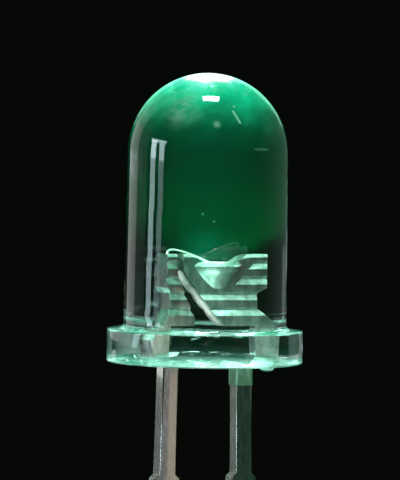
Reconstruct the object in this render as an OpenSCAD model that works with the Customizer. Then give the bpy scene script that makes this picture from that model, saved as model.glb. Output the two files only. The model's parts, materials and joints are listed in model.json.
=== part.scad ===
// Round 5 mm indicator LED for through-hole boards, in millimetres.
// A stamped leadframe carries the chip in a coined cup, and clear epoxy is cast round both.
// The origin is the centre of the flange's underside, which seats on the board.
// +Z is the optical axis and +X points to the cathode and the flat on the flange.

/* [Lens] */
// Height of the epoxy from the seating face to the top of the dome
overall_h = 8.7; // [8:0.1:9.6]
// Diameter of the lens at its foot
lens_d = 4.9; // [4.6:0.05:5.2]
// Draft angle of the lens wall, in degrees
lens_draft = 0.55; // [0.3:0.05:1]
// Radius of the fillet at the lens foot
foot_r = 0.2; // [0.12:0.01:0.24]

/* [Flange] */
// Diameter of the flange
flange_d = 5.9; // [5.7:0.05:6.3]
// Thickness of the flange
flange_h = 1.0; // [0.8:0.05:1.2]
// Chamfer on the rims of the flange
rim_edge = 0.06; // [0.03:0.01:0.1]
// Ledge left between the foot fillet and the flat that marks the cathode
flat_ledge = 0.03; // [0.01:0.01:0.08]
// Width of the flat ring that the flange seats on
seat_w = 0.42; // [0.34:0.02:0.6]
// Depth of the dished underside inside that ring
dish_h = 0.38; // [0.2:0.02:0.5]

/* [Epoxy on the leads] */
// Radius of the epoxy collar round a lead at the top of the dish
collar_r = 0.7; // [0.6:0.02:0.84]
// Depth of the collar below the seating face
collar_h = 0.1; // [0.05:0.01:0.4]
// Thickness of the epoxy film that wets the leads
film_t = 0.015; // [0.01:0.005:0.06]
// Depth to which the film runs down the cathode lead
film_h = 0.7; // [0.5:0.02:1.2]

/* [Leads] */
// Spacing of the leads from the tie bar down
lead_pitch = 2.54; // [2.4:0.02:2.7]
// Spacing of the leads where they leave the epoxy
root_pitch = 2.42; // [2.34:0.02:2.54]
// Width of a lead
lead_w = 0.5; // [0.4:0.01:0.6]
// Thickness of the sheet that the leadframe is stamped from
sheet_t = 0.5; // [0.4:0.01:0.6]
// Length of the cathode lead below the seating face
cathode_l = 25.4; // [15:0.1:30]
// Extra length that marks the anode lead
anode_extra = 1.5; // [1:0.1:2.5]
// Chamfer on a lead's tip
tip_edge = 0.12; // [0.05:0.01:0.18]
// Width across the cut tie bar
tie_w = 0.76; // [0.65:0.01:1]
// Height of the cut tie bar
tie_h = 0.9; // [0.5:0.05:1.4]
// Depth of the tie bar's upper edge below the seating face
tie_drop = 3.35; // [2:0.05:5]
// Height of the tie bar's slanted shoulders
tie_slant = 0.12; // [0.05:0.01:0.2]

/* [Anvil and post] */
// Height of the anvil and the post above the seating face
frame_top = 3.29; // [3.1:0.01:3.6]
// Height of the plates' lower edges
plate_foot = 1.1; // [0.9:0.02:1.2]
// Height at which the legs have their own width
leg_top = 0.7; // [0.5:0.02:0.8]
// Distance of the anvil's outer edge from the axis
anvil_x = 1.19; // [1.1:0.01:1.3]
// Width of the anvil across its top
anvil_w = 1.83; // [1.75:0.01:1.9]
// Height of the anvil's inner edge above the slanted side
anvil_cheek = 0.5; // [0.4:0.02:0.6]
// Width of the anvil's plate beside its leg
anvil_toe = 0.62; // [0.5:0.02:0.84]
// Gap between the anvil and the post at the top
post_gap = 0.16; // [0.12:0.01:0.22]
// Width of the post at the top
post_w = 0.27; // [0.22:0.01:0.32]
// Straight height of the post's inner edge below the top
post_neck = 0.59; // [0.5:0.01:0.7]
// Height of the post's wide foot
post_shoe = 0.3; // [0.2:0.01:0.45]
// Width of the post's foot beside its leg
post_toe = 0.6; // [0.5:0.01:0.62]
// Distance by which the post's foot stands out past its top
post_flare = 0.08; // [0.02:0.01:0.12]
// Depth of the chamfers along the top of the plates
top_edge_d = 0.06; // [0.03:0.01:0.08]
// Height of those chamfers
top_edge_h = 0.09; // [0.05:0.01:0.12]

/* [Anchor notches] */
// Depth of the notch in the anvil's outer edge
anvil_notch = 0.2; // [0.1:0.01:0.25]
// Depth of the notch in the post's outer edge
post_notch = 0.09; // [0.04:0.01:0.12]
// Distance of the notches from the top of the plates
notch_drop = 1.01; // [0.95:0.01:1.1]
// Height of the notches
notch_h = 0.6; // [0.4:0.01:0.7]
// Rise of the slanted upper side of a notch
notch_slant = 0.16; // [0.05:0.01:0.2]

/* [Anchor grooves] */
// Number of grooves on each face of the plates
groove_n = 4; // [2:1:4]
// Distance of the first groove from the top of the plates
groove_drop = 0.32; // [0.3:0.005:0.4]
// Spacing of the grooves
groove_pitch = 0.465; // [0.42:0.005:0.48]
// Width of a groove
groove_w = 0.24; // [0.18:0.01:0.3]
// Depth of a groove
groove_depth = 0.08; // [0.04:0.01:0.1]
// Distance of a groove's root below its upper edge
groove_root = 0.08; // [0.05:0.01:0.12]
// Width of the plain land between the cup's bulge and the grooves beside it
groove_land = 0.12; // [0.05:0.01:0.16]

/* [Cup] */
// Distance of the cup's centre from the axis
cup_x = 0.16; // [0.1:0.01:0.2]
// Greatest outer radius of the cup's bulge, just below the bevelled rim
cup_r = 0.61; // [0.58:0.01:0.64]
// Taper of the bulge, in radius for each unit of height
cup_taper = 0.53; // [0.48:0.01:0.58]
// Drop of the rim at the front and the back below the top of the plates
saddle_drop = 0.24; // [0.2:0.01:0.28]
// Height of the bevel on the rim
rim_bevel_h = 0.12; // [0.08:0.01:0.14]
// Depth of the bevel on the rim
rim_bevel_d = 0.1; // [0.06:0.01:0.12]
// Width of the rim's flat top
rim_flat = 0.07; // [0.05:0.01:0.09]
// Depth of the cup's floor below the rim
cup_depth = 0.4; // [0.35:0.01:0.45]
// Radius of the cup's floor
cup_floor_r = 0.26; // [0.24:0.01:0.28]
// Radius of the countersink at the top of the plates
mouth_r = 0.65; // [0.6:0.01:0.68]

/* [Chip] */
// Side of the square chip
die_side = 0.3; // [0.24:0.01:0.32]
// Height of the chip
die_h = 0.2; // [0.15:0.01:0.25]
// Thickness of the silver paste under the chip
paste_t = 0.03; // [0.02:0.005:0.05]
// Radius of the disc of paste
paste_r = 0.22; // [0.215:0.005:0.235]
// Radius of the contact on the chip
pad_r = 0.05; // [0.045:0.005:0.08]
// Thickness of the contact
pad_t = 0.012; // [0.008:0.001:0.02]

/* [Bond wire] */
// Diameter of the gold wire
wire_d = 0.05; // [0.025:0.001:0.06]
// Diameter of the ball on the contact
ball_d = 0.1; // [0.07:0.005:0.12]
// Depth of the arch's guide point beside the cup below the top of the plates
arch_near_h = 0.05; // [0:0.01:0.08]
// Height of the arch's guide point over the post above the top of the plates
arch_far_h = 0.33; // [0.3:0.01:0.5]

/* [Hidden] */
$fn = 96;

// The dome is the sphere that touches the drafted wall all round and the overall height.
lens_r = lens_d / 2;
flange_r = flange_d / 2;
dome_r = (lens_r - (overall_h - flange_h) * tan(lens_draft)) / (1 / cos(lens_draft) - tan(lens_draft));
dome_z = overall_h - dome_r;
dome_rim_r = dome_r * cos(lens_draft);
dome_rim_z = dome_z + dome_r * sin(lens_draft);
// The fillet's centre lies slightly inside the corner, so the arc meets both walls at a small angle.
fillet_seat = 0.97;
flat_x = lens_r + foot_r + flat_ledge;
// The dish is a shallow cap of a sphere.
dish_edge_r = flange_r - rim_edge - seat_w;
dish_r = (dish_edge_r * dish_edge_r + dish_h * dish_h) / (2 * dish_h);

// Edges of the legs and the plates
leg_out = (root_pitch + lead_w) / 2;
leg_in = (root_pitch - lead_w) / 2;
anode_l = cathode_l + anode_extra;
anvil_in = anvil_x - anvil_w;
post_in = anvil_in - post_gap;
post_out = post_in - post_w;
notch_z = frame_top - notch_drop;
collar_tip_r = norm([lead_w, sheet_t]) / 2 + film_t;

// Heights inside the cup
rim_z = frame_top - saddle_drop;
floor_z = rim_z - cup_depth;
bevel_z = rim_z - rim_bevel_h;
rim_out_r = cup_r - rim_bevel_d;
rim_in_r = rim_out_r - rim_flat;
die_z = floor_z + paste_t;
pad_z = die_z + die_h;
wire_z = pad_z + pad_t;
// The bulge ends just inside the faces of the sheet.
bulge_sink = 0.02;
bulge_end_r = sheet_t / 2 - bulge_sink;
bulge_end_z = bevel_z - (cup_r - bulge_end_r) / cup_taper;

// The wire's arch runs from the ball to the middle of the post's top.
wire_sides = 8;
wire_rings = 22;
post_mid = (post_in + post_out) / 2;
// The ball is pressed flat to this share of its width, and its crown narrows near its top.
ball_squeeze = 0.6;
ball_crown = 0.85;
ball_h = ball_squeeze * ball_d;
ball_face_r = ball_d / 2 * cos(45);
arch_foot_z = wire_z + ball_h + wire_d / 2;
// The arch is a cubic curve, and its first guide point leans this share of the way to the post.
arch_lean = 0.3;
arch = [
    [cup_x, arch_foot_z],
    [mix(cup_x, post_mid, arch_lean), frame_top - arch_near_h],
    [post_mid, frame_top + arch_far_h],
    [post_mid, frame_top]
];
// Cuts reach this far past the faces that they open.
cut_past = 0.1;

// A stamped plate from its outline in the XZ plane
module plate() {
    rotate([90, 0, 0]) linear_extrude(height = sheet_t, center = true) children();
}

// A bar from its sections: the middle, half the width and the height of each, from the top down
module bar_outline(sections) {
    last = len(sections) - 1;
    polygon(concat(
        [for (s = sections) [s[0] + s[1], s[2]]],
        [for (i = [last : -1 : 0]) let (s = sections[i]) [s[0] - s[1], s[2]]]
    ));
}

// The leg of a lead, splayed down to its cut tie bar and chamfered at its tip
module leg_outline(side, length) {
    root = side * root_pitch / 2;
    foot = side * lead_pitch / 2;
    half_w = lead_w / 2;
    bar_outline([
        [root, half_w, leg_top],
        [root, half_w, 0],
        [foot, half_w, -tie_drop],
        [foot, tie_w / 2, -tie_drop - tie_slant],
        [foot, tie_w / 2, tie_slant - tie_drop - tie_h],
        [foot, half_w, -tie_drop - tie_h],
        [foot, half_w, tip_edge - length],
        [foot, half_w - tip_edge, -length]
    ]);
}

// The wide plate of the cathode, which holds the cup
module anvil_outline() {
    polygon([
        [anvil_in, frame_top],
        [anvil_x, frame_top],
        [anvil_x, notch_z],
        [anvil_x - anvil_notch, notch_z - notch_slant],
        [anvil_x - anvil_notch, notch_z - notch_h],
        [leg_out, plate_foot],
        [leg_out, leg_top],
        [leg_in, leg_top],
        [leg_in, plate_foot],
        [leg_in - anvil_toe, plate_foot],
        [anvil_in, frame_top - anvil_cheek]
    ]);
}

// The narrow plate of the anode, which takes the wire
module post_outline() {
    polygon([
        [post_out, frame_top],
        [post_in, frame_top],
        [post_in, frame_top - post_neck],
        [post_toe - leg_in, plate_foot + post_shoe],
        [post_toe - leg_in, plate_foot],
        [-leg_in, plate_foot],
        [-leg_in, leg_top],
        [-leg_out, leg_top],
        [post_out - post_flare, plate_foot],
        [post_out + post_notch, notch_z - notch_h],
        [post_out + post_notch, notch_z - notch_slant],
        [post_out, notch_z]
    ]);
}

// A cutter of one section that runs along X, from x to the outside of the plates
module cutter_along_x(x) {
    translate([x, 0, 0]) rotate([90, 0, 90]) linear_extrude(height = lead_pitch - x) children();
}

function groove_z(i) = frame_top - groove_drop - i * groove_pitch;

// A coined groove on both faces of a plate, steep above and sloping below, which keys it into the epoxy
module anchor_groove(i, x) {
    for (side = [-1, 1])
        cutter_along_x(x)
            translate([side * sheet_t / 2, groove_z(i)])
                polygon([
                    [side * cut_past, groove_w / 2],
                    [0, groove_w / 2],
                    [-side * groove_depth, groove_w / 2 - groove_root],
                    [0, -groove_w / 2],
                    [side * cut_past, -groove_w / 2]
                ]);
}

// The chamfers on the upper edges of both faces of a plate
module top_edges() {
    for (side = [-1, 1])
        cutter_along_x(-lead_pitch)
            translate([side * sheet_t / 2, frame_top])
                polygon([
                    [-side * top_edge_d, cut_past],
                    [-side * top_edge_d, 0],
                    [0, -top_edge_h],
                    [side * cut_past, -top_edge_h],
                    [side * cut_past, cut_past]
                ]);
}

// Grooves of the anvil: those beside the cup start past its bulge, and those below run right across
module anvil_grooves() {
    difference() {
        for (i = [0 : groove_n - 1])
            anchor_groove(i, groove_z(i) > bulge_end_z ? cup_x : -lead_pitch);
        translate([cup_x, 0, bulge_end_z])
            cylinder(
                h = frame_top - bulge_end_z,
                r1 = bulge_end_r + groove_land,
                r2 = bulge_end_r + groove_land + (frame_top - bulge_end_z) * cup_taper
            );
    }
}

// The metal pushed out at the front and the back where the cup is coined
module cup_bulge() {
    translate([cup_x, 0, 0]) rotate_extrude()
        polygon([
            [0, bulge_end_z],
            [bulge_end_r, bulge_end_z],
            [cup_r, bevel_z],
            [rim_out_r, rim_z],
            [0, rim_z]
        ]);
}

// The reflector inside the cup, with the countersink that leaves a saddle-shaped rim
module cup_hollow() {
    past_r = mouth_r + cut_past * (mouth_r - rim_in_r) / saddle_drop;
    translate([cup_x, 0, 0]) rotate_extrude()
        polygon([
            [0, floor_z],
            [cup_floor_r, floor_z],
            [rim_in_r, rim_z],
            [mouth_r, frame_top],
            [past_r, frame_top + cut_past],
            [0, frame_top + cut_past]
        ]);
}

module cathode_lead() {
    color("silver") difference() {
        union() {
            difference() {
                plate() union() {
                    anvil_outline();
                    leg_outline(1, cathode_l);
                }
                anvil_grooves();
                top_edges();
            }
            cup_bulge();
        }
        cup_hollow();
    }
}

module anode_lead() {
    color("silver") difference() {
        plate() union() {
            post_outline();
            leg_outline(-1, anode_l);
        }
        for (i = [0 : groove_n - 1]) anchor_groove(i, -lead_pitch);
        top_edges();
    }
}

module die_attach() {
    color("gainsboro") translate([cup_x, 0, floor_z]) cylinder(h = paste_t, r = paste_r);
}

module led_die() {
    color("mediumspringgreen")
        translate([cup_x - die_side / 2, -die_side / 2, die_z]) cube([die_side, die_side, die_h]);
}

module die_electrode() {
    color("gold") translate([cup_x, 0, pad_z]) cylinder(h = pad_t, r = pad_r);
}

// A point of the arch and its direction: t runs from 0 at the ball to 1 at the post
function mix(a, b, t) = a + (b - a) * t;
function bend(a, b, c, t) = mix(mix(a, b, t), mix(b, c, t), t);
function arch_at(t) = mix(bend(arch[0], arch[1], arch[2], t), bend(arch[1], arch[2], arch[3], t), t);
function arch_run(t) =
    let (run = bend(arch[1] - arch[0], arch[2] - arch[1], arch[3] - arch[2], t))
    run / norm(run);

// One ring of the wire, square to the arch
function wire_ring(t) =
    let (at = arch_at(t), run = arch_run(t))
    [for (k = [0 : wire_sides - 1])
        let (a = 360 * k / wire_sides, out = wire_d / 2 * cos(a))
        [at[0] + out * run[1], wire_d / 2 * sin(a), at[1] - out * run[0]]];

// One level ring of the ball on the contact
function ball_ring(r, z) =
    [for (k = [0 : wire_sides - 1])
        let (a = 360 * k / wire_sides)
        [cup_x + r * cos(a), r * sin(a), z]];

module bond_wire() {
    rings = concat(
        [
            ball_ring(ball_face_r, wire_z),
            ball_ring(ball_d / 2, wire_z + ball_h / 2),
            ball_ring(ball_face_r, wire_z + ball_h * ball_crown)
        ],
        [for (i = [0 : wire_rings]) wire_ring(i / wire_rings)]
    );
    last = len(rings) - 1;
    color("goldenrod") polyhedron(
        points = [for (ring = rings) each ring],
        faces = concat(
            [[for (k = [0 : wire_sides - 1]) k]],
            [for (i = [0 : last - 1], k = [0 : wire_sides - 1])
                let (a = i * wire_sides, n = (k + 1) % wire_sides)
                [a + k, a + wire_sides + k, a + wire_sides + n, a + n]],
            [[for (k = [wire_sides - 1 : -1 : 0]) last * wire_sides + k]]
        )
    );
}

// Half the turned section of the casting: dished flange, foot fillet, drafted wall and dome
module turned_outline() {
    difference() {
        polygon([
            [0, 0],
            [flange_r - rim_edge, 0],
            [flange_r, rim_edge],
            [flange_r, flange_h - rim_edge],
            [flange_r - rim_edge, flange_h],
            [lens_r + foot_r, flange_h],
            [lens_r + foot_r, flange_h + foot_r],
            [lens_r - foot_r * tan(lens_draft), flange_h + foot_r],
            [dome_rim_r, dome_rim_z],
            [0, dome_rim_z]
        ]);
        translate([lens_r + fillet_seat * foot_r, flange_h + fillet_seat * foot_r]) circle(r = foot_r);
        translate([0, dish_h - dish_r]) circle(r = dish_r, $fn = 360);
    }
    intersection() {
        translate([0, dome_z]) circle(r = dome_r);
        translate([0, dome_rim_z]) square([dome_r, dome_r]);
    }
}

// The epoxy drawn down round a lead, from the top of the dish
module collar(x) {
    translate([x, 0, -collar_h]) cylinder(h = collar_h + dish_h, r1 = collar_tip_r, r2 = collar_r);
}

// The thin sleeve of epoxy that follows the cathode lead down
module film() {
    half_w = lead_w / 2 + film_t;
    root = root_pitch / 2;
    end = mix(root, lead_pitch / 2, film_h / tie_drop);
    rotate([90, 0, 0]) linear_extrude(height = sheet_t + 2 * film_t, center = true)
        bar_outline([[root, half_w, dish_h], [root, half_w, 0], [end, half_w, -film_h]]);
}

module epoxy_body() {
    color([0.72, 0.9, 0.84, 0.45]) difference() {
        union() {
            difference() {
                rotate_extrude() turned_outline();
                translate([flat_x, -flange_r, -cut_past])
                    cube([flange_r, flange_d, flange_h + 2 * cut_past]);
            }
            for (side = [-1, 1]) collar(side * root_pitch / 2);
            film();
        }
        cathode_lead();
        anode_lead();
        die_attach();
        led_die();
        die_electrode();
        bond_wire();
    }
}

epoxy_body();
cathode_lead();
anode_lead();
led_die();
die_electrode();
die_attach();
bond_wire();
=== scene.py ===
# %% [markdown]
# # A lit green LED in clear epoxy
#
# The object is a 5 mm through-hole LED: a stamped metal frame with a tiny chip, cast into clear epoxy.
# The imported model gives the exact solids. This script dresses them: it spins a clean lens, rounds the
# stamped edges, writes the finishes, and lights the part as a product shot against black.

# %% Load the frame
import json
import math

import bpy
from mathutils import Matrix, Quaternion, Vector

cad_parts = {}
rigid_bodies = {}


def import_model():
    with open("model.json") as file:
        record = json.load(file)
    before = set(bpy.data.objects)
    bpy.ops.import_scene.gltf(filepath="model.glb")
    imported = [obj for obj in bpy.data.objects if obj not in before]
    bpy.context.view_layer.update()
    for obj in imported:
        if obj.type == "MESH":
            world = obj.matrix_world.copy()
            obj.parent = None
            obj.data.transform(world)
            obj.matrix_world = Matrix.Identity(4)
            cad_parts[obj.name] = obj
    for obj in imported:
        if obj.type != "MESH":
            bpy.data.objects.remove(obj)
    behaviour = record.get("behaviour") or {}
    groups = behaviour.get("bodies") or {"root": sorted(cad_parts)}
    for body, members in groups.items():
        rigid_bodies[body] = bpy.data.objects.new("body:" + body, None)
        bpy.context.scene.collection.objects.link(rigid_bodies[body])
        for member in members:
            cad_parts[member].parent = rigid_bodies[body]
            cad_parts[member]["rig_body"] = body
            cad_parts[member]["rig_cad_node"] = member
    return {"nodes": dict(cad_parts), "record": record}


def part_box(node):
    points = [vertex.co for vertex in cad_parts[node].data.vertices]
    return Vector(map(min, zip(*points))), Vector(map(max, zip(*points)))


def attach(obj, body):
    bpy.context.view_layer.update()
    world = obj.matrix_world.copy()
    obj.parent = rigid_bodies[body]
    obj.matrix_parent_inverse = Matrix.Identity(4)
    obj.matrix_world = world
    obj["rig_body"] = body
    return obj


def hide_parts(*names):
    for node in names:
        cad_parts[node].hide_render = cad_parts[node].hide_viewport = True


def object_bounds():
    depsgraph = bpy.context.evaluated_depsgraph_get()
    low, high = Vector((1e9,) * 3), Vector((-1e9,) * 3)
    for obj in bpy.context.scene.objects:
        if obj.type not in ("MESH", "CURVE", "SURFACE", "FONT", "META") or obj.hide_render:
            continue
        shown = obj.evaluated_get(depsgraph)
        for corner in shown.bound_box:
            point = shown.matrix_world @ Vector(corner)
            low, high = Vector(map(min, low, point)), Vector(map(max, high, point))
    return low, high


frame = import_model()
cad_low, cad_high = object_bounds()
nodes = frame["nodes"]
MM = 0.001
print("nodes:", sorted(nodes))
print("box in mm:", [round(c / MM, 2) for c in (*cad_low, *cad_high)])

# %% [markdown]
# ## Camera
#
# The picture looks slightly down on the flange from the anode's side of the frame's face, with a long lens
# and a small roll. A camera can be placed by eye, but three angles, a distance and the scale of the
# picture say the same thing in numbers that can be corrected one at a time.

# %% Place the camera
PICTURE_H = 480
PIXELS_PER_MM = 33.27
SENSOR_W = 36
VIEW_AZIMUTH, VIEW_ELEVATION, VIEW_ROLL = -25.0, 2.5, 0.95
VIEW_DISTANCE = 160 * MM
AIM_HEIGHT, AIM_ASIDE = 3.68 * MM, -0.191 * MM


def bearing(azimuth, elevation):
    """The unit vector from the part towards an azimuth and elevation, in degrees; azimuth 0 is -Y."""
    a, e = math.radians(azimuth), math.radians(elevation)
    return Vector((math.sin(a) * math.cos(e), -math.cos(a) * math.cos(e), math.sin(e)))


towards_camera = bearing(VIEW_AZIMUTH, VIEW_ELEVATION)
camera_turn = (-towards_camera).to_track_quat("-Z", "Y")
camera_right = camera_turn @ Vector((1, 0, 0))
aim = Vector((0, 0, AIM_HEIGHT)) + camera_right * AIM_ASIDE

bpy.ops.object.select_all(action="DESELECT")
bpy.ops.object.camera_add(location=aim + towards_camera * VIEW_DISTANCE)
camera = bpy.context.object
camera.rotation_mode = "QUATERNION"
camera.rotation_quaternion = camera_turn @ Quaternion((0, 0, 1), math.radians(VIEW_ROLL))
camera.data.sensor_width = SENSOR_W
picture_long_side = PICTURE_H / PIXELS_PER_MM * MM
camera.data.lens = SENSOR_W * VIEW_DISTANCE / picture_long_side
camera.data.clip_start, camera.data.clip_end = 1 * MM, 10
bpy.context.scene.camera = camera
print("focal length:", round(camera.data.lens, 1))

# %% [markdown]
# ## Shader maths
#
# Finishes can be wired node by node, but they read better as formulas. One small class wraps a socket, so
# that an expression on it adds the Math nodes. A second one holds a material, and its method `node` adds
# every other kind of node.


# %% Write shaders as expressions
class Value:
    """A number socket in a finish; an expression on it adds Math nodes."""

    def __init__(self, finish, socket):
        self.finish = finish
        self.socket = socket

    def _math(self, operation, first, second):
        return self.finish.node("ShaderNodeMath", {"operation": operation}, {0: first, 1: second})

    def __add__(self, other):
        return self._math("ADD", self, other)

    def __sub__(self, other):
        return self._math("SUBTRACT", self, other)

    def __rsub__(self, other):
        return self._math("SUBTRACT", other, self)

    def __mul__(self, other):
        return self._math("MULTIPLY", self, other)

    def __truediv__(self, other):
        return self._math("DIVIDE", self, other)

    def __pow__(self, other):
        return self._math("POWER", self, other)

    __radd__ = __add__
    __rmul__ = __mul__


BLACK = (0.0, 0.0, 0.0, 1)


class Finish:
    """A material whose nodes are written as expressions."""

    def __init__(self, name):
        self.material = bpy.data.materials.new(name)
        self.material.use_nodes = True
        self.tree = self.material.node_tree
        self.tree.nodes.clear()
        self.output = self.tree.nodes.new("ShaderNodeOutputMaterial")

    def node(self, kind, settings=None, inputs=None, out=0):
        """Adds a node, sets it up, feeds its sockets and returns one of its outputs."""
        made = self.tree.nodes.new(kind)
        for key, setting in (settings or {}).items():
            if key == "stops":
                self._stops(made.color_ramp, setting)
            else:
                setattr(made, key, setting)
        for key, given in (inputs or {}).items():
            if isinstance(given, Value):
                self.tree.links.new(given.socket, made.inputs[key])
            else:
                made.inputs[key].default_value = given
        return Value(self, made.outputs[out])

    @staticmethod
    def _stops(ramp, stops):
        while len(ramp.elements) < len(stops):
            ramp.elements.new(0.5)
        for element, (place, colour) in zip(ramp.elements, stops):
            element.position = place
            element.color = (*colour, 1)

    def vector(self, operation, inputs, out=0):
        """A Vector Math node."""
        return self.node("ShaderNodeVectorMath", {"operation": operation}, inputs, out)

    def place(self):
        """The point on the surface in the part's own frame, in millimetres."""
        point = self.node("ShaderNodeTexCoord", out="Object")
        return self.vector("SCALE", {0: point, "Scale": 1 / MM})

    def axes(self, vector):
        """The x, y and z of a vector."""
        split = self.node("ShaderNodeSeparateXYZ", inputs={0: vector}).socket.node
        return [Value(self, socket) for socket in split.outputs]

    def between(self, value, low, high):
        """0 at low, 1 at high and a smooth step between."""
        settings = {"interpolation_type": "SMOOTHSTEP"}
        return self.node("ShaderNodeMapRange", settings, {0: value, 1: low, 2: high})

    def stretched(self, place, scale):
        """A place with its axes scaled, so that a pattern on it is drawn out."""
        return self.vector("MULTIPLY", {0: place, 1: scale})

    def noise(self, place, scale, detail=2.0, rough=0.5):
        """Cloudy noise around a half, with features of about 1 / scale millimetres."""
        inputs = {"Vector": place, "Scale": scale, "Detail": detail, "Roughness": rough}
        return self.node("ShaderNodeTexNoise", inputs=inputs)

    def ramp(self, value, stops):
        """A colour that changes with a value from 0 to 1."""
        return self.node("ShaderNodeValToRGB", {"stops": stops}, {0: value})

    def mix(self, share, first, second, blend="MIX"):
        """A colour between two colours, or one laid over the other by another blend."""
        settings = {"data_type": "RGBA", "clamp_factor": True, "blend_type": blend}
        return self.node("ShaderNodeMix", settings, {0: share, 6: first, 7: second}, out=2)

    def darkened(self, colour, share):
        """A colour with a share of black."""
        return self.mix(share, colour, BLACK)

    def bump(self, height, depth_mm):
        """A normal that follows a height map of that depth."""
        return self.node("ShaderNodeBump", inputs={"Height": height, "Distance": depth_mm * MM})

    def spot(self, place, centre, radius):
        """1 at a point, fading to 0 at a radius."""
        away = self.vector("DISTANCE", {0: place, 1: centre}, "Value")
        return 1 - self.between(away, 0.0, radius)

    def stroke(self, place, start, end, radius):
        """1 along a straight line between two points, fading to 0 at a radius."""
        run = Vector(end) - Vector(start)
        offset = self.vector("SUBTRACT", {0: place, 1: start})
        along = self.vector("DOT_PRODUCT", {0: offset, 1: run / run.length_squared}, "Value")
        along = self.node("ShaderNodeClamp", inputs={0: along})
        nearest = self.vector("SCALE", {0: run, "Scale": along})
        away = self.vector("DISTANCE", {0: offset, 1: nearest}, "Value")
        return 1 - self.between(away, 0.0, radius)

    def inside(self, kind, inputs):
        """Fills what the finish covers with a volume."""
        volume = self.node(kind, inputs=inputs)
        self.tree.links.new(volume.socket, self.output.inputs["Volume"])

    def surface(self, inputs):
        """Ends the finish in one shader."""
        shader = self.node("ShaderNodeBsdfPrincipled", inputs=inputs)
        self.tree.links.new(shader.socket, self.output.inputs["Surface"])
        print(self.material.name, "nodes:", len(self.tree.nodes))
        return self.material


def dress(piece, material):
    """Gives a piece one material."""
    piece.data.materials.clear()
    piece.data.materials.append(material)


# %% [markdown]
# ## The clear casting
#
# The real body is epoxy cast round the metal, so its outside is one smooth turned form with a flat on the
# flange. The solid in the frame also has the hollow for the metal, and two faces in the same place confuse
# a ray tracer. So the casting is modelled again without the hollow: half a sphere whose edge is pulled
# down ring by ring, as on a lathe.

# %% Sizes of the casting
mounts = {m["name"]: m for m in frame["record"]["mounts"]}
body_low, body_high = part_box("epoxy_body")
# The frame gives the flange, its flat and the height; the other sizes repeat those of the solid.
FLANGE_H = mounts["flange_shoulder"]["pos_m"][2]
FLANGE_R = -body_low.x
FLAT_X = body_high.x
FLAT_LEDGE = 0.03 * MM
LENS_R = 2.45 * MM
FOOT_R = FLAT_X - FLAT_LEDGE - LENS_R
DRAFT = math.radians(0.55)
RIM_R = 0.06 * MM
SEAT_W, DISH_H = 0.42 * MM, 0.38 * MM
TOP_Z = body_high.z
dome_r = (LENS_R - (TOP_Z - FLANGE_H) * math.tan(DRAFT)) / (1 / math.cos(DRAFT) - math.tan(DRAFT))
dome_z = TOP_Z - dome_r
dome_rim_z = dome_z + dome_r * math.sin(DRAFT)
wall_foot_z = FLANGE_H + FOOT_R
rim_centre_r = FLANGE_R - RIM_R
dish_edge_r = rim_centre_r - SEAT_W
dish_r = (dish_edge_r**2 + DISH_H**2) / (2 * DISH_H)
for label, size in (("dome", dome_r), ("flange", FLANGE_R), ("foot", FOOT_R), ("dish", dish_r)):
    print(label, "radius in mm:", round(size / MM, 3))

# %% Cut half a sphere for the dome
LENS_SEGMENTS = 160
DOME_RINGS = 112
WELD = 1e-8

bpy.ops.object.select_all(action="DESELECT")
bpy.ops.mesh.primitive_uv_sphere_add(
    segments=LENS_SEGMENTS, ring_count=DOME_RINGS, radius=dome_r, location=(0, 0, dome_z)
)
casting = bpy.context.object
casting.name = "clear_casting"
bpy.ops.object.transform_apply(location=True, rotation=True, scale=True)
bpy.ops.object.mode_set(mode="EDIT")
bpy.ops.mesh.select_all(action="SELECT")
bpy.ops.mesh.bisect(plane_co=(0, 0, dome_rim_z), plane_no=(0, 0, 1), clear_inner=True, threshold=WELD)
print("the dome ends at a height of", round(dome_rim_z / MM, 3), "mm")

# %% Pull the edge of the dome down as on a lathe
WALL_RINGS = 24
ARC_STEPS = 8
DISH_RINGS = 26


class Lathe:
    """Pulls a ring of edges to new radii and heights."""

    def __init__(self, radius, z):
        self.radius = radius
        self.z = z

    def to(self, radius, z):
        """Adds a ring of faces that ends at a radius and a height."""
        bpy.ops.mesh.extrude_region_move(TRANSFORM_OT_translate={"value": (0, 0, z - self.z)})
        grow = radius / self.radius
        bpy.ops.transform.resize(value=(grow, grow, 1), center_override=(0, 0, z))
        self.radius, self.z = radius, z

    def arc(self, centre_r, centre_z, radius, start, end):
        """Follows an arc between two angles, in degrees, 0 being outwards and 90 up."""
        for step in range(1, ARC_STEPS + 1):
            a = math.radians(start + (end - start) * step / ARC_STEPS)
            self.to(centre_r + radius * math.cos(a), centre_z + radius * math.sin(a))


lathe = Lathe(dome_r * math.cos(DRAFT), dome_rim_z)
for ring in range(1, WALL_RINGS + 1):
    z = dome_rim_z + (wall_foot_z - dome_rim_z) * ring / WALL_RINGS
    lathe.to(LENS_R - (z - FLANGE_H) * math.tan(DRAFT), z)
lathe.arc(LENS_R + FOOT_R, wall_foot_z, FOOT_R, 180, 270)
lathe.to(rim_centre_r, FLANGE_H)
lathe.arc(rim_centre_r, FLANGE_H - RIM_R, RIM_R, 90, 0)
lathe.to(FLANGE_R, RIM_R)
lathe.arc(rim_centre_r, RIM_R, RIM_R, 0, -90)
lathe.to(dish_edge_r, 0)
for ring in range(1, DISH_RINGS):
    r = dish_edge_r * (1 - ring / DISH_RINGS)
    lathe.to(r, DISH_H - dish_r + math.sqrt(dish_r**2 - r**2))
bpy.ops.mesh.merge(type="CENTER")
print("the last ring has a radius of", round(lathe.radius / MM, 3), "mm")

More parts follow.
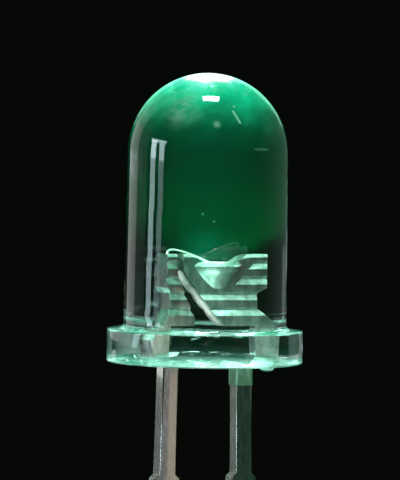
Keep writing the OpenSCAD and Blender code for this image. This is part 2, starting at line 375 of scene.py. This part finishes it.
# %% Cut the flat and close the casting
bpy.ops.mesh.select_all(action="SELECT")
bpy.ops.mesh.bisect(
    plane_co=(FLAT_X, 0, 0), plane_no=(1, 0, 0), clear_outer=True, use_fill=True, threshold=WELD
)
bpy.ops.mesh.select_all(action="SELECT")
bpy.ops.mesh.remove_doubles(threshold=WELD)
bpy.ops.mesh.normals_make_consistent(inside=False)
bpy.ops.object.mode_set(mode="OBJECT")
print("casting faces:", len(casting.data.polygons))

# %% [markdown]
# ### The poured underside
#
# Epoxy is poured from this side and cures in the open, so its surface is wavy. A bump map would only shade
# the waves, and clear epoxy shows every wave by the way it bends the light. So the faces of the dish are
# really moved, at random along their normals, and then smoothed.

# %% Ripple the underside
RIPPLE = 0.03 * MM
RIPPLE_EDGE_R = dish_edge_r - 0.15 * MM
RIPPLE_SEED = 7
FACING_DOWN = -0.5


def select_only(piece):
    """Makes one piece the only one that operators act on."""
    bpy.ops.object.select_all(action="DESELECT")
    piece.select_set(True)
    bpy.context.view_layer.objects.active = piece


def pick_faces(piece, wanted):
    """Enters edit mode with only the wanted faces selected."""
    select_only(piece)
    bpy.ops.object.mode_set(mode="EDIT")
    bpy.ops.mesh.select_mode(type="FACE")
    bpy.ops.mesh.select_all(action="DESELECT")
    bpy.ops.object.mode_set(mode="OBJECT")
    for face in piece.data.polygons:
        face.select = wanted(face)
    bpy.ops.object.mode_set(mode="EDIT")


def in_the_dish(face):
    """Tells whether a face belongs to the middle of the underside."""
    from_axis = math.hypot(face.center.x, face.center.y)
    return face.normal.z < FACING_DOWN and from_axis < RIPPLE_EDGE_R


pick_faces(casting, in_the_dish)
bpy.ops.transform.vertex_random(offset=RIPPLE, uniform=0.0, normal=1.0, seed=RIPPLE_SEED)
bpy.ops.mesh.vertices_smooth(factor=0.5, repeat=6)
bpy.ops.object.mode_set(mode="OBJECT")
print("rippled faces:", sum(in_the_dish(face) for face in casting.data.polygons))

# %% [markdown]
# ### Collars, film and drip
#
# The liquid epoxy climbs each lead as a small collar, leaves a thin film on the cathode and one drip on the
# rim. All of them are the same material as the body, so loose pieces would show a seam inside the glass.
# Simple solids are joined to the casting by a Boolean instead.

# %% Join the collars
COLLAR_R, COLLAR_H, FILM_T = 0.7 * MM, 0.1 * MM, 0.015 * MM
ROOT_PITCH, LEAD_W = 2.42 * MM, 0.5 * MM
collar_tip_r = math.hypot(LEAD_W, LEAD_W) / 2 + FILM_T


def join_to_casting(piece):
    """Unites a piece with the casting and removes it."""
    select_only(casting)
    unite = casting.modifiers.new("unite", "BOOLEAN")
    unite.operation = "UNION"
    unite.solver = "EXACT"
    unite.object = piece
    bpy.ops.object.modifier_apply(modifier="unite")
    bpy.data.objects.remove(piece)


for side in (-1, 1):
    bpy.ops.object.select_all(action="DESELECT")
    bpy.ops.mesh.primitive_cone_add(
        vertices=64,
        radius1=collar_tip_r,
        radius2=COLLAR_R,
        depth=COLLAR_H + DISH_H,
        location=(side * ROOT_PITCH / 2, 0, (DISH_H - COLLAR_H) / 2),
    )
    join_to_casting(bpy.context.object)
print("casting faces with collars:", len(casting.data.polygons))

# %% Join the film
LEAD_PITCH, TIE_DROP = 2.54 * MM, 3.35 * MM
# Down to the cut tie bar, each leg leans outwards by this much for each unit of height.
LEAD_SPLAY = (LEAD_PITCH - ROOT_PITCH) / 2 / TIE_DROP
film_w = LEAD_W + 2 * FILM_T
film_h = -body_low.z
bpy.ops.object.select_all(action="DESELECT")
bpy.ops.mesh.primitive_cube_add(size=1, location=(ROOT_PITCH / 2, 0, DISH_H / 2))
film = bpy.context.object
film.scale = (film_w, film_w, DISH_H)
bpy.ops.object.transform_apply(location=True, rotation=True, scale=True)
pick_faces(film, lambda face: face.normal.z < FACING_DOWN)
bpy.ops.mesh.extrude_region_move(TRANSFORM_OT_translate={"value": (film_h * LEAD_SPLAY, 0, -film_h)})
bpy.ops.object.mode_set(mode="OBJECT")
join_to_casting(film)
print("the film ends", round(film_h / MM, 3), "mm below the seat")

# %% Join the drip on the rim
DRIP_R, DRIP_FLATNESS = 0.24 * MM, 0.55
DRIP_AT = Vector((0.877, -2.51, 0.02)) * MM
CASTING_SMOOTH = math.radians(40)
bpy.ops.object.select_all(action="DESELECT")
bpy.ops.mesh.primitive_uv_sphere_add(segments=32, ring_count=20, radius=DRIP_R, location=DRIP_AT)
drip = bpy.context.object
drip.scale.z = DRIP_FLATNESS
bpy.ops.object.transform_apply(location=True, rotation=True, scale=True)
join_to_casting(drip)
select_only(casting)
bpy.ops.object.shade_smooth_by_angle(angle=CASTING_SMOOTH)
print("casting faces with collars, film and drip:", len(casting.data.polygons))

# %% [markdown]
# ## The stamped leads
#
# A press leaves slightly rounded edges, and they catch most of the light on small metal parts. The
# solids are copied and their triangles are merged back into whole faces. The long edges of the legs are
# rounder, from the tin on them, so they are bevelled in edit mode first. A Bevel modifier then rounds all
# the other edges, and weighted normals keep the flat faces flat.

# %% Pick the long edges of a leg
LEG_EDGE_MIN = 1 * MM


def pick_leg_edges(piece):
    """Enters edit mode with only the long upright edges of the leg selected."""
    bpy.ops.object.mode_set(mode="EDIT")
    bpy.ops.mesh.select_mode(type="EDGE")
    bpy.ops.mesh.select_all(action="DESELECT")
    bpy.ops.object.mode_set(mode="OBJECT")
    corners = piece.data.vertices
    for edge in piece.data.edges:
        start, end = (corners[i].co.z for i in edge.vertices)
        edge.select = abs(end - start) > LEG_EDGE_MIN and min(start, end) < 0
    bpy.ops.object.mode_set(mode="EDIT")


# %% Round the stamped edges
EDGE_ROUND, EDGE_SEGMENTS, EDGE_ANGLE = 0.02 * MM, 2, math.radians(25)
LEG_ROUND, LEG_SEGMENTS = 0.04 * MM, 4
LEAD_SMOOTH = math.radians(35)
LEAD_WELD, LEAD_FLAT = 1e-7, math.radians(0.5)


def rounded_copy(node, name):
    """A copy of a solid with merged faces and rounded edges."""
    piece = nodes[node].copy()
    piece.data = nodes[node].data.copy()
    piece.name = name
    bpy.context.scene.collection.objects.link(piece)
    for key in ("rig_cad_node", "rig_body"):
        del piece[key]
    piece.parent = None
    select_only(piece)
    bpy.ops.object.mode_set(mode="EDIT")
    bpy.ops.mesh.select_all(action="SELECT")
    bpy.ops.mesh.remove_doubles(threshold=LEAD_WELD)
    bpy.ops.mesh.dissolve_limited(angle_limit=LEAD_FLAT)
    pick_leg_edges(piece)
    bpy.ops.mesh.bevel(offset=LEG_ROUND, segments=LEG_SEGMENTS, affect="EDGES")
    bpy.ops.object.mode_set(mode="OBJECT")
    bevel = piece.modifiers.new("rounding", "BEVEL")
    bevel.width = EDGE_ROUND
    bevel.segments = EDGE_SEGMENTS
    bevel.limit_method = "ANGLE"
    bevel.angle_limit = EDGE_ANGLE
    bpy.ops.object.modifier_apply(modifier="rounding")
    bpy.ops.object.shade_smooth_by_angle(angle=LEAD_SMOOTH)
    flat = piece.modifiers.new("flat_faces", "WEIGHTED_NORMAL")
    flat.weight = 100
    flat.keep_sharp = True
    bpy.ops.object.modifier_apply(modifier="flat_faces")
    return piece


anvil = rounded_copy("cathode_lead", "anvil_lead")
post = rounded_copy("anode_lead", "post_lead")
for piece in (anvil, post):
    print(piece.name, "faces:", len(piece.data.polygons))

# %% [markdown]
# ## Finishes
#
# ### Green haze in the epoxy
#
# The epoxy is glass to a ray tracer. What makes it a lit LED is the green haze. A thin scattering volume
# spreads the chip's light through the body. The brighter haze in the dome would need a dense, slow and
# grainy volume, so there the surface itself gives off light, in clouds that follow the height. The same
# way gives the white cap on the tip, and the column of light that rises from the cup.

# %% Haze that follows the height
epoxy = Finish("clear_epoxy")
place = epoxy.place()
x, y, z = epoxy.axes(place)
clouds = epoxy.noise(place, 1.3, 4.0, 0.6)
HAZE_TOP = TOP_Z / MM
CLOUD_DRIFT = 1.0
# Heights in millimetres and the colour of the haze there
HAZE = (
    (4.0, (0.0, 0.0, 0.0)),
    (6.5, (0.0, 0.007, 0.003)),
    (6.95, (0.0, 0.031, 0.0125)),
    (7.2, (0.0, 0.07, 0.029)),
    (7.45, (0.002, 0.15, 0.066)),
    (7.7, (0.003, 0.28, 0.13)),
    (8.05, (0.004, 0.52, 0.24)),
    (8.25, (0.012, 0.70, 0.37)),
    (8.5, (0.12, 0.85, 0.6)),
)
haze_at = (z + (clouds - 0.5) * CLOUD_DRIFT) / HAZE_TOP
haze = epoxy.ramp(haze_at, [(height / HAZE_TOP, colour) for height, colour in HAZE])
print("haze from", HAZE[0][0], "to", HAZE[-1][0], "mm above the seat")

# %% White cap and the light above the cup
BRIGHT_SIDE = bearing(-25.0, 0)
CAP_AT, CAP_R = BRIGHT_SIDE * 0.4 + Vector((0, 0, HAZE_TOP)), 1.5
CAP_WHITE = (0.95, 1.0, 0.97, 1)
BEAM_AT, BEAM_R = BRIGHT_SIDE * 2.43 + Vector((0, 0, 3.3)), 1.15
COLUMN_TOP, COLUMN_R = BEAM_AT + Vector((0, 0, 3.2)), 2.0
COLUMN_GLOW, BEAM_GLOW = (0.0, 0.01, 0.0055, 1), (0.0, 0.075, 0.038, 1)
cap = epoxy.spot(place, CAP_AT, CAP_R) + (epoxy.noise(place, 3.0, 3.0, 0.6) - 0.5) * 0.5
haze = epoxy.mix(epoxy.between(cap, 0.4, 0.6), haze, CAP_WHITE)
column = epoxy.stroke(place, BEAM_AT, COLUMN_TOP, COLUMN_R)
haze = epoxy.mix(column, haze, COLUMN_GLOW, "ADD")
haze = epoxy.mix(epoxy.spot(place, BEAM_AT, BEAM_R), haze, BEAM_GLOW)
print("nodes with the cap and the column:", len(epoxy.tree.nodes))

# %% [markdown]
# ### Light caught in the underside
#
# Light that runs down in the body is caught in the rough underside and at the rim of the flange, so both
# shine in pale green. Enough samples would find this light by themselves, but slowly. Streaks, blobs and
# glints of noise on the surface give it at once, and they stay with the part in every view.

# %% Pool of light in the underside
# Heights, and distances from the axis, in millimetres, between which each light fades
UNDER_FADE = (0.1, 0.42)
BLOB_FADE = (0.1, 0.22)
FILM_FADE = (-0.1, -0.02)
FLANGE_WALL = (2.8, 2.92)
DISH_MIDDLE = (0.5, 1.6)
STREAKS = (0.8, 0.8, 7.0)
FRONT_AT, FRONT_R, BLOBS_R = BRIGHT_SIDE * 2.75, 2.4, 1.5
FRONT_GLOW = (0.26, 0.76, 0.56, 1)
BLOB_GLOW = (0.75, 0.92, 0.85, 1)
FILM_GLOW = (0.012, 0.06, 0.028, 1)
bands = epoxy.noise(epoxy.stretched(place, STREAKS), 1.0, 3.0, 0.55)
pool = epoxy.ramp(bands, [
    (0.32, (0.025, 0.16, 0.1)),
    (0.5, (0.08, 0.33, 0.23)),
    (0.68, (0.26, 0.56, 0.44)),
])
pool = epoxy.mix(epoxy.spot(place, FRONT_AT, FRONT_R) * 0.75, pool, FRONT_GLOW)
blobs = epoxy.between(epoxy.noise(place, 4.2, 1.0), 0.48, 0.56) * epoxy.spot(place, FRONT_AT, BLOBS_R)
pool = epoxy.mix(blobs * (1 - epoxy.between(z, *BLOB_FADE)), pool, BLOB_GLOW)
from_axis = (x * x + y * y) ** 0.5
pool = epoxy.darkened(pool, epoxy.between(from_axis, *FLANGE_WALL) * 0.75)
pool = epoxy.mix(epoxy.between(from_axis, *DISH_MIDDLE), epoxy.darkened(pool, 0.3), pool)
pool = epoxy.mix(1 - epoxy.between(z, *FILM_FADE), pool, FILM_GLOW)
glow = epoxy.mix(1 - epoxy.between(z, *UNDER_FADE), haze, pool)
print("nodes with the pool:", len(epoxy.tree.nodes))

# %% Glints at the rim of the flange
# Heights in millimetres between which the glints come and go
RIM_START, RIM_END = (0.9, 0.97), (1.03, 1.12)
GLINT_GLOW = (0.13, 0.34, 0.25, 1)
rim_share = epoxy.between(z, *RIM_START) * (1 - epoxy.between(z, *RIM_END))
glints = epoxy.between(epoxy.noise(place, 2.4, 2.0), 0.48, 0.66) * rim_share
glow = epoxy.mix(glints, glow, GLINT_GLOW)
print("nodes with the glints:", len(epoxy.tree.nodes))

# %% [markdown]
# ### Marks on the lens
#
# A used lens has fine scratches, specks and a smear. They scatter the green light, so they shine a little
# brighter than the haze. Cut into the mesh they would need far more faces than the lens has. Here they
# are short strokes and spots at places on the surface, each with its own strength.

# %% Scratches, specks and smears
MARK_R = 0.06
# Start, end and strength
SCRATCHES = (
    ((-0.142, -2.024, 7.598), (0.010, -2.207, 7.272), 0.8),
    ((0.447, -2.369, 6.488), (0.948, -2.218, 6.473), 0.15),
)
# Place and strength
SPECKS = (
    ((-0.066, -1.926, 7.743), 0.9),
    ((-1.133, -2.134, 4.552), 0.5),
    ((-0.828, -2.272, 4.341), 0.4),
)
SMUDGE_AT, SMUDGE_R = (-0.708, -2.114, 7.221), 0.16
SMEAR_AT, SMEAR_R = (-1.45, -1.24, 7.75), 0.95
SCRATCH_GLOW, SPECK_GLOW = (0.2, 0.62, 0.4, 1), (0.22, 0.6, 0.42, 1)
SMUDGE_GLOW, SMEAR_GLOW = (0.16, 0.4, 0.28, 1), (0.25, 0.55, 0.4, 1)
for start, end, share in SCRATCHES:
    glow = epoxy.mix(epoxy.stroke(place, start, end, MARK_R) * share, glow, SCRATCH_GLOW)
for centre, share in SPECKS:
    glow = epoxy.mix(epoxy.spot(place, centre, MARK_R) * share, glow, SPECK_GLOW)
glow = epoxy.mix(epoxy.spot(place, SMUDGE_AT, SMUDGE_R) * 0.7, glow, SMUDGE_GLOW)
smear_clouds = epoxy.between(epoxy.noise(place, 2.4, 4.0, 0.65), 0.3, 0.7)
glow = epoxy.mix(epoxy.spot(place, SMEAR_AT, SMEAR_R) * smear_clouds * 0.5, glow, SMEAR_GLOW)
print("marks:", len(SCRATCHES), "scratches and", len(SPECKS), "specks")

# %% Fill the casting with clear epoxy
EPOXY_IOR = 1.53
EPOXY_TINT, HAZE_TINT = (0.88, 1.0, 0.96, 1), (0.02, 1.0, 0.48, 1)
HAZE_DENSITY = 18.0
epoxy.inside("ShaderNodeVolumeScatter", {"Color": HAZE_TINT, "Density": HAZE_DENSITY})
clear_epoxy = epoxy.surface({
    "Base Color": EPOXY_TINT,
    "Roughness": 0.02,
    "IOR": EPOXY_IOR,
    "Transmission Weight": 1.0,
    "Emission Color": glow,
    "Emission Strength": 1.0,
})
dress(casting, clear_epoxy)

# %% [markdown]
# ### Tin-plated steel
#
# The leads are steel with a thin, uneven plating of tin. Inside the epoxy it stays fresh. The legs outside
# are darker, smoother and drawn lengthwise, and a warm reflection is painted on one side of the post's leg.
# Two materials would meet in a hard line, so one finish changes with the height. It also darkens the cup's
# bulge, which hides from the light below the cup's rim.

# %% Wear of the leads, and a painted warm reflection
steel = Finish("plated_steel")
place = steel.place()
x, y, z = steel.axes(place)
# Heights, and distances across the post's leg, in millimetres, between which each share fades
LEGS_FADE = (-0.5, 0.2)
WARM_REFLECTION_START = (-0.08, 0.02)
WARM_REFLECTION_END = (0.6, 0.7)
DRAWN, SPECKLED = (7.0, 7.0, 1.1), (10.0, 10.0, 3.5)
WORN_STEEL, BRIGHT_STEEL = (0.40, 0.39, 0.37, 1), (0.95, 0.93, 0.90, 1)
# Colour of the warm reflection that is painted on one side of the post's leg
WARM_REFLECTION_PAINT = (1.0, 0.82, 0.62, 1)
on_legs = 1 - steel.between(z, *LEGS_FADE)
tin = steel.noise(place, 3.0, 3.0)
drawn = steel.noise(steel.stretched(place, DRAWN), 1.0, 4.0, 0.65)
speckle = steel.noise(steel.stretched(place, SPECKLED), 1.0, 5.0, 0.7)
wear = drawn * 0.5 + speckle * 0.5
metal = steel.mix(steel.between(wear, 0.3, 0.7), WORN_STEEL, BRIGHT_STEEL)
# Darker on the legs below the seat
metal = steel.darkened(metal, on_legs * 0.42)
# A warm reflection is painted on one side of the post's leg, outside the epoxy
from_post_leg = x + ROOT_PITCH / MM / 2 - z * LEAD_SPLAY + (tin - 0.5) * 0.12
warm_reflection_share = steel.between(from_post_leg, *WARM_REFLECTION_START) * (1 - steel.between(from_post_leg, *WARM_REFLECTION_END))
metal = steel.mix(warm_reflection_share * on_legs * 0.55, metal, WARM_REFLECTION_PAINT)
print("nodes with the painted_warm_reflection:", len(steel.tree.nodes))

# %% Shade below the cup's rim, and plate the leads
# Depths and heights in millimetres between which the shade fades
BULGE_FRONT, BULGE_TOP = (-0.32, -0.27), (2.7, 2.8)
SHADED_STEEL = (0.16, 0.15, 0.14, 1)
in_front = 1 - steel.between(y, *BULGE_FRONT)
under_cup = in_front * (1 - on_legs) * (1 - steel.between(z, *BULGE_TOP))
metal = steel.mix(under_cup * 0.5, metal, SHADED_STEEL)
plated_steel = steel.surface({
    "Base Color": metal,
    "Metallic": 1.0,
    "Roughness": 0.24 + tin * 0.12 - on_legs * 0.19,
    "Normal": steel.bump(wear * (on_legs * 0.8 + 0.2), 0.006),
})
for piece in (anvil, post):
    dress(piece, plated_steel)

# %% [markdown]
# ### Chip, gold and paste
#
# The chip is the light itself, a crystal smaller than a grain of sand, so its brightness is high. A lamp
# could stand in its place, but the cup would not mirror it as a body, so the solid itself glows. The
# contact and the wire are gold, and the wire also glows, because it crosses the beam. The paste is dull and
# full of silver flakes.

# %% Chip
CHIP_BRIGHTNESS = 460.0
chip = Finish("green_chip")
facets = chip.noise(chip.place(), 9.0, 2.0)
green_chip = chip.surface({
    "Base Color": chip.mix(facets, (0.06, 0.85, 0.42, 1), (0.14, 1.0, 0.6, 1)),
    "Roughness": 0.1 + facets * 0.2,
    "Emission Color": chip.mix(facets, (0.03, 0.85, 0.36, 1), (0.08, 1.0, 0.52, 1)),
    "Emission Strength": CHIP_BRIGHTNESS,
})
dress(nodes["led_die"], green_chip)

# %% Gold contact and lit wire
gold = Finish("gold")
grain = gold.noise(gold.place(), 14.0, 3.0)
bright_gold = gold.surface({
    "Base Color": gold.mix(grain, (0.92, 0.66, 0.26, 1), (1.0, 0.78, 0.40, 1)),
    "Metallic": 1.0,
    "Roughness": 0.15 + grain * 0.15,
})
dress(nodes["die_electrode"], bright_gold)
wire = Finish("lit_wire")
sheen = wire.noise(wire.place(), 5.0, 2.0)
lit_wire = wire.surface({
    "Base Color": wire.mix(sheen, (0.95, 0.80, 0.48, 1), (1.0, 0.92, 0.70, 1)),
    "Metallic": 1.0,
    "Roughness": 0.2,
    "Emission Color": wire.mix(sheen, (0.14, 0.75, 0.45, 1), (0.5, 1.0, 0.8, 1)),
    "Emission Strength": 1.0,
})
dress(nodes["bond_wire"], lit_wire)

# %% Silver paste
paste = Finish("silver_paste")
flakes = paste.noise(paste.place(), 30.0, 3.0, 0.6)
silver_paste = paste.surface({
    "Base Color": paste.mix(flakes, (0.55, 0.55, 0.55, 1), (0.85, 0.85, 0.84, 1)),
    "Metallic": 0.4 + flakes * 0.4,
    "Roughness": 0.4 + flakes * 0.2,
    "Normal": paste.bump(flakes, 0.004),
})
dress(nodes["die_attach"], silver_paste)

# %% [markdown]
# ## Stage and light
#
# A clear thing is seen by what it mirrors and bends, so the room is dark and each lamp is put where one
# surface looks for it. The floor is plain and pale. It stays out of the view through the epoxy, where it
# would fill the lens with grey.

# %% Floor and dark surroundings
FLOOR_R = 60 * MM
ROOM_COLOUR = (0.002, 0.0027, 0.002, 1)
bpy.ops.object.select_all(action="DESELECT")
bpy.ops.mesh.primitive_circle_add(
    vertices=96, radius=FLOOR_R, fill_type="NGON", location=(0, 0, cad_low.z)
)
floor = bpy.context.object
floor.name = "floor"
floor.visible_transmission = False
pale = Finish("pale_floor")
dress(floor, pale.surface({"Base Color": (0.8, 0.8, 0.79, 1), "Roughness": 0.7}))

world = bpy.data.worlds.new("dark_room")
bpy.context.scene.world = world
world.use_nodes = True
world.node_tree.nodes["Background"].inputs["Color"].default_value = ROOM_COLOUR

# %% [markdown]
# ### Windows and an overhead lamp
#
# Two tall lamps at the left draw the two long lines on the lens, and a lamp overhead draws the small
# highlight on the dome. One large lamp would be simpler, but its reflection would be a single broad stripe.
# The windows are cut into slices that lean, because the lines on the lens lean too.

# %% Windows and overhead lamp
LAMP_DISTANCE = 120 * MM
WHITE = (1, 1, 1)


def lamp_at(name, where, facing, size, glow, colour, turn=0.0):
    """A rectangular lamp of a size, turned about its own axis; glow is its brightness."""
    bpy.ops.object.select_all(action="DESELECT")
    bpy.ops.object.light_add(type="AREA", location=where)
    lamp = bpy.context.object
    lamp.name = name
    lamp.rotation_mode = "QUATERNION"
    lamp.rotation_quaternion = facing.to_track_quat("-Z", "Y") @ Quaternion((0, 0, 1), math.radians(turn))
    lamp.data.shape = "RECTANGLE"
    lamp.data.size, lamp.data.size_y = size
    lamp.data.color = colour
    lamp.data.energy = glow * math.pi * size[0] * size[1]
    lamp.visible_camera = False
    return lamp


def soft_lamp(name, azimuth, elevation, wide, tall, glow, colour, turn=0.0):
    """A far lamp that faces the part; wide and tall in degrees."""
    where = Vector((0, 0, AIM_HEIGHT)) + bearing(azimuth, elevation) * LAMP_DISTANCE
    size = [2 * LAMP_DISTANCE * math.tan(math.radians(angle / 2)) for angle in (wide, tall)]
    return lamp_at(name, where, -bearing(azimuth, elevation), size, glow, colour, turn)


WINDOW_COLOUR = (0.68, 0.95, 1.0)
# Elevation and lean of each slice, in degrees
WINDOW_SLICES = ((-0.25, -0.8), (-1.55, -2.2), (-2.85, -3.8), (-4.15, -5.4))
SLICE_TALL = 1.3
TOP_ELEVATION, TOP_TALL, TOP_EXTRA = 6.95, 13.1, 6.0
# Name, azimuth and width in degrees, and brightness
WINDOWS = (("near", -94.5, 9, 2.0), ("far", -109.5, 9.5, 4.6))
for name, azimuth, wide, glow in WINDOWS:
    top_glow = glow + TOP_EXTRA
    soft_lamp(f"window_{name}_top", azimuth, TOP_ELEVATION, wide, TOP_TALL, top_glow, WINDOW_COLOUR)
    for elevation, lean in WINDOW_SLICES:
        slice_name = f"window_{name}_{elevation}"
        soft_lamp(slice_name, azimuth + lean, elevation, wide, SLICE_TALL, glow, WINDOW_COLOUR)
soft_lamp("window_head", -102, 14.2, 29, 3, 8.0, WINDOW_COLOUR)
OVERHEAD_AZIMUTH = 7
soft_lamp("overhead", OVERHEAD_AZIMUTH, 86, 16.5, 9.5, 45.0, WHITE, VIEW_AZIMUTH - OVERHEAD_AZIMUTH)
print("lamps:", len(bpy.data.lights))

# %% [markdown]
# ### Cards far away
#
# A card is a dim lamp that stands for a sheet of paper: it gives a limb of the lens or the dome its soft
# shine. Seen from every side it would also fill the lens with light from behind, so each card is seen only
# by the rays that outer surfaces mirror, or only by the rays that leave the epoxy. The cards at the
# back and the sides are stacked in four steps, so that their upper ends fade.

# %% Cards far away
REAR_COLOUR, SIDE_COLOUR, EDGE_COLOUR = (0.9, 1.0, 0.94), (0.78, 1.0, 0.95), (0.9, 1.0, 0.95)
# Elevations of the stacked cards' ends, and the azimuths that the right ones span, in degrees
CARD_LOW, CARD_TOPS = -4, (16, 26, 36, 46)
RIGHT_START, RIGHT_STEP, RIGHT_END = 54, 10, 140


def seen_only_by(rays, lamp):
    """Hides a lamp from all rays but those that outer surfaces mirror or those that leave the epoxy."""
    lamp.visible_diffuse = False
    lamp.visible_glossy = rays == "mirrored"
    lamp.visible_transmission = rays == "from_inside"


def far_card(rays, name, direction, size, glow, colour):
    """A far lamp that only some rays see; direction and size in degrees."""
    seen_only_by(rays, soft_lamp(name, *direction, *size, glow, colour))


for step, card_top in enumerate(CARD_TOPS):
    middle, tall = (card_top + CARD_LOW) / 2, card_top - CARD_LOW
    share = 0.4 if step == 0 else 0.2
    far_card("mirrored", f"rear_card_{step}", (-160, middle), (30, tall), 0.85 * share, REAR_COLOUR)
    far_card("mirrored", f"left_card_{step}", (-134, middle), (24, tall), 0.2 * share, SIDE_COLOUR)
    wide = RIGHT_END - RIGHT_START - RIGHT_STEP * step
    right = (RIGHT_END - wide / 2, middle)
    far_card("mirrored", f"right_card_{step}", right, (wide, tall), 0.03, SIDE_COLOUR)
far_card("mirrored", "crown_card", (155, 18), (48, 20), 0.7, (0.6, 1.0, 0.85))
far_card("mirrored", "edge_card_back", (177, -9.9), (34, 7.2), 0.6, EDGE_COLOUR)
far_card("mirrored", "edge_card_right", (90, -9.9), (60, 7.2), 1.2, EDGE_COLOUR)
far_card("from_inside", "dome_card", (0, 90), (76, 76), 1.3, (0.45, 1.0, 0.75))
for azimuth in (-90, -50, -10):
    far_card("from_inside", f"groove_card_{azimuth}", (azimuth, 46), (30, 16), 9.0, (0.4, 1.0, 0.74))
print("lamps and far cards:", len(bpy.data.lights))

# %% [markdown]
# ### Cards close to the leads
#
# Flat metal mirrors one direction, so each face of a leg is as bright as the one card that it looks at. A
# large soft light would make all the faces alike. Small upright cards below the flange light one face each,
# and the upper card lights only the roots of the legs.

# %% Cards close to the leads
# Heights of the cards, and the ends of the line that two of them stand on, in millimetres
LEAD_Z, LEAD_TOP_Z = (-9.0, -0.45), (-0.95, -0.3)
LEAD_SIDE = (-7.4, 9.0), (-5.1, 9.0)
PALE_MINT = (0.9, 1.0, 0.97)


def narrowed(card, spread):
    """Hides a card from steep rays, and keeps its brightness seen head-on."""
    half_spread = math.radians(spread / 2)
    card.data.spread = 2 * half_spread
    card.data.energy *= 1 - half_spread / math.tan(half_spread)
    return card


def near_card(rays, name, start, end, z_range, glow, colour, spread=180):
    """A small upright card along a line in millimetres that only some rays see."""
    low, high = z_range
    centre = Vector(((start[0] + end[0]) / 2, (start[1] + end[1]) / 2, (low + high) / 2)) * MM
    run = Vector((end[0] - start[0], end[1] - start[1], 0)) * MM
    facing = run.cross(Vector((0, 0, 1)))
    if facing.dot(centre) > 0:
        facing = -facing
    card = lamp_at(name, centre, facing, (run.length, (high - low) * MM), glow, colour)
    seen_only_by(rays, narrowed(card, spread))


near_card("mirrored", "lead_side", *LEAD_SIDE, LEAD_Z, 0.35, PALE_MINT)
near_card("mirrored", "lead_top", *LEAD_SIDE, LEAD_TOP_Z, 1.5, PALE_MINT)
near_card("mirrored", "lead_side_right", (-4.0, 9.0), (-2.6, 9.0), LEAD_Z, 0.4, (0.8, 1.0, 0.9))
near_card("mirrored", "lead_front", (1.8, -9.3), (4.2, -9.3), LEAD_Z, 0.4, (0.97, 1.0, 0.98))
near_card("mirrored", "lead_dark", (4.6, -9.3), (7.0, -9.3), LEAD_Z, 0.09, (0.36, 1.0, 0.68))
print("lamps with the leads' cards:", len(bpy.data.lights))

# %% [markdown]
# ### Cards round the flange, the post and the anvil
#
# The metal in the epoxy mirrors the room through a curved wall, and the wall turns each ray. Far lamps
# would be spread over the whole frame. Cards on a ring close to the part are seen by one piece each. A
# narrow spread hides them from the rays that cross the lens at a slant.

# %% Cards on a ring
RING_R = 12
FLANGE_Z, POST_Z = (-1.4, 0.2), (-3.2, 1.4)
ANVIL_TOP_Z, ANVIL_LOW_Z = (-2.0, 1.4), (-4.2, -2.0)
MINT = (0.62, 1.0, 0.85)


def ring_card(name, start_azimuth, end_azimuth, z_range, glow, colour=MINT, spread=50):
    """A card on a ring round the part, seen only through the epoxy."""
    start, end = bearing(start_azimuth, 0) * RING_R, bearing(end_azimuth, 0) * RING_R
    near_card("from_inside", name, start.xy, end.xy, z_range, glow, colour, spread)


ring_card("flange_limb", 60, 104, FLANGE_Z, 0.26)
ring_card("flange_left", 104, 134, FLANGE_Z, 0.3)
ring_card("flange_lead_left", 33, 55, FLANGE_Z, 1.2)
ring_card("flange_lead_right", 5, 14, FLANGE_Z, 2.5, (0.75, 1.0, 0.88))
ring_card("flange_lead_edge", -6, 5, FLANGE_Z, 0.6)
ring_card("flange_right", 192, 230, FLANGE_Z, 0.11)
ring_card("post_front", 34, 80, POST_Z, 0.55, (1.0, 0.78, 0.6), 80)
ring_card("anvil_top", 2, 30, ANVIL_TOP_Z, 0.15, (0.4, 1.0, 0.72), 80)
ring_card("anvil_low", 2, 24, ANVIL_LOW_Z, 0.6, (0.15, 1.0, 0.6), 90)
SIDE_LINE = (-6.3, 4.0), (-2.1, 6.0)
near_card("from_inside", "flange_side", *SIDE_LINE, (-0.1, 0.75), 0.7, (0.85, 0.95, 1.0), 80)
near_card("from_inside", "post_side", *SIDE_LINE, (0.8, 3.1), 0.24, (0.72, 1.0, 0.94), 80)
print("lamps with the ring of cards:", len(bpy.data.lights))

# %% [markdown]
# ### Cards for two slanted faces
#
# The slanted edge of the anvil and the foot of the post look down and up, past the upright cards. The
# mirrored ray, bent once more at the wall, was worked out for each of them. A small card stands where
# that ray ends, and it faces the point where the ray leaves the epoxy.

# %% Cards for the anvil's slanted edge and the post's foot


def aimed_card(name, where, at, size, glow, colour, spread):
    """A small card seen only through the epoxy, in millimetres, that faces a point."""
    where, at = Vector(where) * MM, Vector(at) * MM
    card = lamp_at(name, where, at - where, [side * MM for side in size], glow, colour)
    seen_only_by("from_inside", narrowed(card, spread))


aimed_card("slant_card", (-1.3, 5.3, -1.3), (-0.7, 2.4, 1.0), (3.0, 1.4), 2.5, (0.85, 1, 0.93), 60)
aimed_card("post_foot", (-3.17, 4.7, 3.85), (-2.02, 1.37, 1.94), (2.4, 1.6), 1.3, (0.3, 1.0, 0.65), 50)
print("lamps in all:", len(bpy.data.lights))

# %% [markdown]
# ## Hand over
#
# The casting and the two leads ride on the one body, and each takes the place of its solid. The chip, its
# contact, the paste and the wire are the solids themselves, so they only needed a finish. The box of the
# solids, measured before the dressing, is kept. A dressed part has to stay as large as its solids.

# %% Ride and replace
for piece, node, slot in (
    (casting, "epoxy_body", "clear_epoxy"),
    (anvil, "cathode_lead", "plated_steel"),
    (post, "anode_lead", "plated_steel"),
):
    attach(piece, "root")
    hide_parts(node)

scene = bpy.context.scene
scene.view_settings.view_transform = "Standard"
